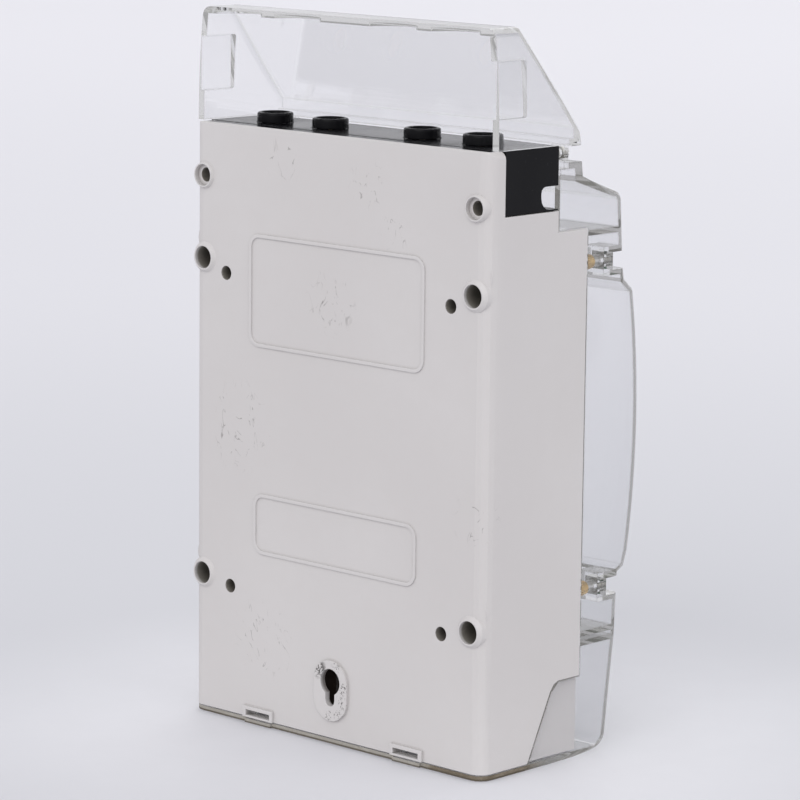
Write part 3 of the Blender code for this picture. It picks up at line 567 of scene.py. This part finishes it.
# How far each moulding's edges are rounded, in millimetres.
SMALL_EDGE = 0.12
EDGE_RADII = {
    "rear_housing": 0.35,
    "terminal_block": 0.3,
    "front_cover": 0.3,
    "terminal_cover": 0.25,
    "front_plate": 0.25,
    "display_frame": 0.15,
    "optical_port": SMALL_EDGE,
}
for side in ("left", "right"):
    EDGE_RADII[f"push_button_{side}"] = 0.3
    EDGE_RADII[f"seal_screw_{side}"] = SMALL_EDGE
for n in range(1, 5):
    EDGE_RADII[f"cable_sleeve_{n}"] = SMALL_EDGE
    EDGE_RADII[f"cover_screw_{n}"] = SMALL_EDGE
for n in range(1, 9):
    EDGE_RADII[f"terminal_screw_{n}"] = SMALL_EDGE

for node, radius in EDGE_RADII.items():
    refined(node, radius)
bpy.data.objects["terminal_cover_moulding"].data.materials[0] = HOOD_CLEAR


# ---------------------------------------------------------------- added details

# Faces that carry details, by their depth, and middles on the label plate, (across, up).
PLATE_FACE = 60.4
GLASS_FACE = 58.0
BOARD_FACE = 31.6
LIFT = 0.01
BUTTON_X = 10.0
BUTTON_Z = 104.0
PORT = (-24.0, 133.0)
PULSE_X = 30.0


def add_piece(name, bm, body, material):
    """A new piece from a bmesh whose points are (x, depth, z) in millimetres."""
    for vert in bm.verts:
        vert.co = at(*vert.co)
    bmesh.ops.recalc_face_normals(bm, faces=bm.faces)
    mesh = bpy.data.meshes.new(name)
    bm.to_mesh(mesh)
    bm.free()
    mesh.shade_smooth()
    mesh.set_sharp_from_angle(angle=math.radians(35))
    mesh.materials.append(material)
    piece = bpy.data.objects.new(name, mesh)
    bpy.context.scene.collection.objects.link(piece)
    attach(piece, body)
    return piece


def add_block(bm, xs, depths, zs, bevel=0.0):
    """A box between the (low, high) pairs, with its edges bevelled if asked."""
    made = bmesh.ops.create_cube(bm, size=1.0)["verts"]
    for vert in made:
        for axis, (low, high) in enumerate((xs, depths, zs)):
            vert.co[axis] = low + (high - low) * (vert.co[axis] + 0.5)
    if bevel:
        edges = {edge for vert in made for edge in vert.link_edges}
        bmesh.ops.bevel(bm, geom=list(edges), offset=bevel, segments=2, affect="EDGES")


def add_rings(bm, x, z, rings, steps, knurl=0.0, closed=True):
    """Faces between rings of (radius, depth) about a front-to-back axis.

    A ring with a negative radius is knurled: every other point lies that much lower.
    A closed set joins its last ring to its first, an open one is capped at both ends.
    """
    loops = []
    for radius, depth in rings:
        loop = []
        for i in range(steps):
            turn = 2 * math.pi * i / steps
            reach = abs(radius) - (knurl if i % 2 and radius < 0 else 0.0)
            across, up = reach * math.cos(turn), reach * math.sin(turn)
            loop.append(bm.verts.new((x + across, depth, z + up)))
        loops.append(loop)
    pairs = list(zip(loops, loops[1:]))
    if closed:
        pairs.append((loops[-1], loops[0]))
    for a, b in pairs:
        for i in range(steps):
            j = (i + 1) % steps
            bm.faces.new((a[i], a[j], b[j], b[i]))
    if not closed:
        bm.faces.new(loops[0])
        bm.faces.new(loops[-1])


def knurled_insert(number):
    """Brass bush: plain barrel, knurled band, neck and coned tip, with a bore through it."""
    node = f"brass_insert_{number}"
    low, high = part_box(node)
    x = (low.x + high.x) / 2 / MM
    z = (low.z + high.z) / 2 / MM
    back, front = (WALL_Y - high.y) / MM, (WALL_Y - low.y) / MM
    r = (high.x - low.x) / 2 / MM - 0.02
    neck = r - 0.20
    bore = r - 0.58
    rings = [(r - 0.3, back), (r, back + 0.3), (r, front - 6.4)]
    rings += [(-r, front - 6.2), (-r, front - 2.4)]
    rings += [(neck, front - 2.2), (neck, front - 1.3), (r - 0.42, front - 0.05)]
    rings += [(r - 0.50, front), (bore, front - 0.2), (bore, back)]
    bm = bmesh.new()
    add_rings(bm, x, z, rings, steps=48, knurl=0.22)
    piece = add_piece(node + "_knurled", bm, BODY_OF[node], MATERIALS["brass"])
    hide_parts(node)


# A made-up reading, and the lit strokes of the digits in it.
READING = "001284"
SEGMENTS = {"0": "abcdef", "1": "bc", "2": "abged", "4": "fgbc", "8": "abcdefg"}
DIGIT_W = 5.2
DIGIT_H = 10.4
DIGIT_GAP = 1.9
STROKE = 1.1
DISPLAY_Z = 77.0
FIRST_DIGIT_X = 20.0
LIT_TOP = GLASS_FACE + 0.10
UNLIT_TOP = GLASS_FACE + 0.03


def segment_bars():
    """Each stroke of a digit as (across, up) spans, from its lower left corner."""
    w, h, t = DIGIT_W, DIGIT_H, STROKE
    half = h / 2
    gap = 0.15
    rise = (half + gap + t / 2, h - t - gap)
    fall = (t + gap, half - gap - t / 2)
    return {
        "a": ((t, w - t), (h - t, h)),
        "b": ((w - t, w), rise),
        "c": ((w - t, w), fall),
        "d": ((t, w - t), (0, t)),
        "e": ((0, t), fall),
        "f": ((0, t), rise),
        "g": ((t, w - t), (half - t / 2, half + t / 2)),
    }


def display_digits():
    """The reading. The meter stands on its head here, so the digits do too."""
    bars = segment_bars()
    lit, unlit = bmesh.new(), bmesh.new()
    bottom = GLASS_FACE + LIFT
    for place, digit in enumerate(READING):
        start = FIRST_DIGIT_X - place * (DIGIT_W + DIGIT_GAP)
        for name, (across, up) in bars.items():
            xs = (start - across[1], start - across[0])
            zs = (DISPLAY_Z + DIGIT_H / 2 - up[1], DISPLAY_Z + DIGIT_H / 2 - up[0])
            if name in SEGMENTS[digit]:
                add_block(lit, xs, (bottom, LIT_TOP), zs)
            else:
                add_block(unlit, xs, (bottom, UNLIT_TOP), zs)
    for x in (-24.0, -21.8, 23.0):
        add_block(lit, (x - 0.6, x + 0.6), (bottom, LIT_TOP), (70.4, 71.6))
    add_piece("display_digits", lit, "housing", LCD_INK)
    add_piece("display_unlit_segments", unlit, "housing", LCD_GHOST)


PRINT_LAYER = (PLATE_FACE + LIFT, PLATE_FACE + 0.06)
RULE = 0.25


def outline_frame(bm, half_w, low, high, width):
    """Four thin strips round a rectangle on the label plate."""
    add_block(bm, (-half_w, half_w), PRINT_LAYER, (low, low + width))
    add_block(bm, (-half_w, half_w), PRINT_LAYER, (high - width, high))
    for side in (1, -1):
        xs = sorted((side * half_w, side * (half_w - width)))
        add_block(bm, xs, PRINT_LAYER, (low + width, high - width))


def label_printing():
    """Blank rules and rings printed on the label plate, with no lettering."""
    bm = bmesh.new()
    outline_frame(bm, 44.0, 49.0, 149.0, 0.35)
    outline_frame(bm, 30.0, 63.0, 91.0, 0.5)
    for row in range(5):
        z = 119.0 + row * 5.6
        add_block(bm, (-3.0, 41.0), PRINT_LAYER, (z, z + RULE))
    for row in range(2):
        z = 53.0 + row * 4.6
        add_block(bm, (-41.0, 41.0), PRINT_LAYER, (z, z + RULE))
    bottom, top = PRINT_LAYER
    for x, r in ((BUTTON_X, 7.0), (-BUTTON_X, 7.0), (PULSE_X, 4.0)):
        rings = [(r, bottom), (r + 0.35, bottom), (r + 0.35, top), (r, top)]
        add_rings(bm, x, BUTTON_Z, rings, steps=48)
    add_piece("label_printing", bm, "housing", PRINT_INK)


def port_window():
    """Dark window behind the reading port's ring, with its two lenses."""
    bm = bmesh.new()
    x, z = PORT
    disc = [(8.4, 58.0), (8.9, 58.2), (8.9, 59.4), (8.5, 59.7)]
    add_rings(bm, x, z, disc, steps=48, closed=False)
    lens_r, lens_base, lens_rise = 2.4, 59.72, 1.5
    climb = [i * math.pi / 12 for i in range(6)]
    dome = [(lens_r * math.cos(a), lens_base + lens_rise * math.sin(a)) for a in climb]
    for side in (1, -1):
        add_rings(bm, x + side * 3.3, z, dome, steps=24, closed=False)
    add_piece("port_window", bm, "housing", SMOKED_LENS)


# Kinds of small chip, (length, height), and what the side rows of them keep clear of.
CHIP_KINDS = ((2.0, 0.8), (3.2, 1.3), (1.6, 0.6), (2.4, 1.0))
CHIP_FOOT = BOARD_FACE + 0.02
POST_Z, POST_CLEAR = 54.3, 9.0
SCREW_Z, SCREW_CLEAR = 140.0, 6.0


def chip_spots():
    """Where chips stand on the board's open margins: (across, up, kind)."""
    spots = []
    for side in (1, -1):
        for row in range(21):
            z = 45.0 + row * 4.3
            if abs(z - POST_Z) > POST_CLEAR and abs(z - SCREW_Z) > SCREW_CLEAR:
                spots.append((side * (49.3 + 2.0 * (row % 3 == 1)), z, row % 4))
    for column in range(13):
        spots.append((-42.0 + column * 7.0, 158.5 + 2.0 * (column % 2), column % 3))
    return spots


def board_components():
    """Small chips with plated ends, in rows along the board's margins."""
    chips, ends = bmesh.new(), bmesh.new()
    for x, z, kind in chip_spots():
        length, height = CHIP_KINDS[kind]
        body = (CHIP_FOOT, BOARD_FACE + height)
        pad = (CHIP_FOOT, BOARD_FACE + height * 0.8)
        add_block(chips, (x - 0.8, x + 0.8), body, (z - length / 2, z + length / 2), 0.12)
        for side in (1, -1):
            tip = z + side * (length / 2 + 0.2)
            add_block(ends, (x - 0.75, x + 0.75), pad, (tip - 0.19, tip + 0.19), 0.05)
    add_piece("board_chips", chips, "housing", MATERIALS["component_black"])
    add_piece("board_chip_ends", ends, "housing", MATERIALS["steel"])


def ink(name, colour, rough):
    """A printed or switched layer, slightly uneven in tone."""
    s = Shader(name)
    uneven = s.ramp(s.noise(2400, 2), 0.3, 0.8)
    lighter = tuple(c * 1.35 + 0.01 for c in colour)
    return s.finish(s.mix(uneven, colour, lighter), s.ramp(uneven, 0, 1, rough, rough + 0.15))


def smoked_lens():
    """Nearly black, glossy window plastic."""
    s = Shader("smoked_lens")
    haze = s.noise(700, 2)
    colour = s.mix(haze, (0.012, 0.004, 0.006), (0.020, 0.008, 0.010))
    return s.finish(colour, s.ramp(haze, 0.3, 0.7, 0.06, 0.14), s.bump(haze, 0.00001, 0.3))


LCD_INK = ink("lcd_ink", (0.020, 0.024, 0.022), 0.3)
LCD_GHOST = ink("lcd_ghost", (0.20, 0.235, 0.165), 0.2)
PRINT_INK = ink("print_ink", (0.16, 0.20, 0.27), 0.5)
SMOKED_LENS = smoked_lens()

for n in range(1, 5):
    knurled_insert(n)
display_digits()
label_printing()
port_window()
board_components()


# ---------------------------------------------------------------------- studio


FLOOR_R = 14.0
FLOOR_GAP = 0.0003
# Pale tones of the floor: under the meter (two, mottled), near it, behind it and far off; the
# darker ring near the meter is painted shade and the lighter tones farther off are painted light.
FLOOR_UNDER = ((0.740, 0.740, 0.768), (0.750, 0.750, 0.778))
FLOOR_NEAR_SHADE = (0.615, 0.618, 0.645)
FLOOR_BEHIND = (0.700, 0.698, 0.728)
FLOOR_FAR = (0.755, 0.750, 0.782)


def studio_floor():
    """A wide plain floor with painted light and shade: its tone changes a little with distance,
    darker near the meter and lighter far off, like a lit backdrop.
    """
    bm = bmesh.new()
    bmesh.ops.create_circle(bm, cap_ends=True, segments=96, radius=FLOOR_R)
    mesh = bpy.data.meshes.new("floor")
    bm.to_mesh(mesh)
    bm.free()
    floor = bpy.data.objects.new("floor", mesh)
    floor.location.z = cad_low.z - FLOOR_GAP
    bpy.context.scene.collection.objects.link(floor)
    s = Shader("floor")
    mottle = s.noise(60, 3)
    colour = s.mix(s.ramp(mottle, 0.3, 0.7), *FLOOR_UNDER)
    length = (("operation", "LENGTH"),)
    away = s.node("ShaderNodeVectorMath", output=1, settings=length, Vector=s.place)
    # Painted shade round the meter, then painted light growing with distance.
    colour = s.mix(s.ramp(away, 0.07, 0.20), colour, FLOOR_NEAR_SHADE)
    colour = s.mix(s.ramp(away, 0.22, 1.1), colour, FLOOR_BEHIND)
    colour = s.mix(s.ramp(away, 0.9, 3.0), colour, FLOOR_FAR)
    mesh.materials.append(s.finish(colour, 0.6, Specular_IOR_Level=0.25))


def sun(name, azimuth, elevation, spread, strength):
    """A soft distant light that comes from a compass direction and a height."""
    data = bpy.data.lights.new(name, "SUN")
    data.angle = math.radians(spread)
    data.energy = strength
    lamp = bpy.data.objects.new(name, data)
    a, e = math.radians(azimuth), math.radians(elevation)
    away = Vector((math.cos(a) * math.cos(e), math.sin(a) * math.cos(e), math.sin(e)))
    lamp.rotation_mode = "QUATERNION"
    lamp.rotation_quaternion = away.to_track_quat("Z", "Y")
    lamp.visible_transmission = False
    bpy.context.scene.collection.objects.link(lamp)


# Name, compass direction and height in degrees, spread in degrees, strength.
SUNS = (
    ("key", 112, 32, 50, 0.98),
    ("fill", 195, 25, 60, 0.36),
    ("front", -70, 35, 60, 0.5),
)
SKY = (0.93, 0.93, 0.97)
SKY_STRENGTH = 0.82


def studio_light():
    """An even pale sky and three soft suns."""
    world = bpy.data.worlds.new("studio")
    bpy.context.scene.world = world
    world.use_nodes = True
    sky = world.node_tree.nodes["Background"]
    sky.inputs["Color"].default_value = (*SKY, 1)
    sky.inputs["Strength"].default_value = SKY_STRENGTH
    for settings in SUNS:
        sun(*settings)
    bpy.context.scene.view_settings.view_transform = "Standard"


# The camera's place and what it looks at, in metres, its lens and its tilt.
EYE = Vector((-0.83588, WALL_Y + 0.85627, 0.32506))
AIM = Vector((-0.00553, WALL_Y - 0.025, 0.11237))
LENS = 169.3
SENSOR = 36.0
ROLL = math.radians(0.645)


def camera():
    """Long lens from behind and to the side, turned a little about its axis."""
    data = bpy.data.cameras.new("camera")
    data.lens = LENS
    data.sensor_width = SENSOR
    data.clip_start = 0.05
    data.clip_end = 60.0
    back = (EYE - AIM).normalized()
    level = Vector((0, 0, 1)).cross(back).normalized()
    upright = back.cross(level)
    right = level * math.cos(ROLL) + upright * math.sin(ROLL)
    up = upright * math.cos(ROLL) - level * math.sin(ROLL)
    made = bpy.data.objects.new("camera", data)
    turn = Matrix((right, up, back)).transposed().to_4x4()
    made.matrix_world = Matrix.Translation(EYE) @ turn
    bpy.context.scene.collection.objects.link(made)
    bpy.context.scene.camera = made


studio_floor()
studio_light()
camera()
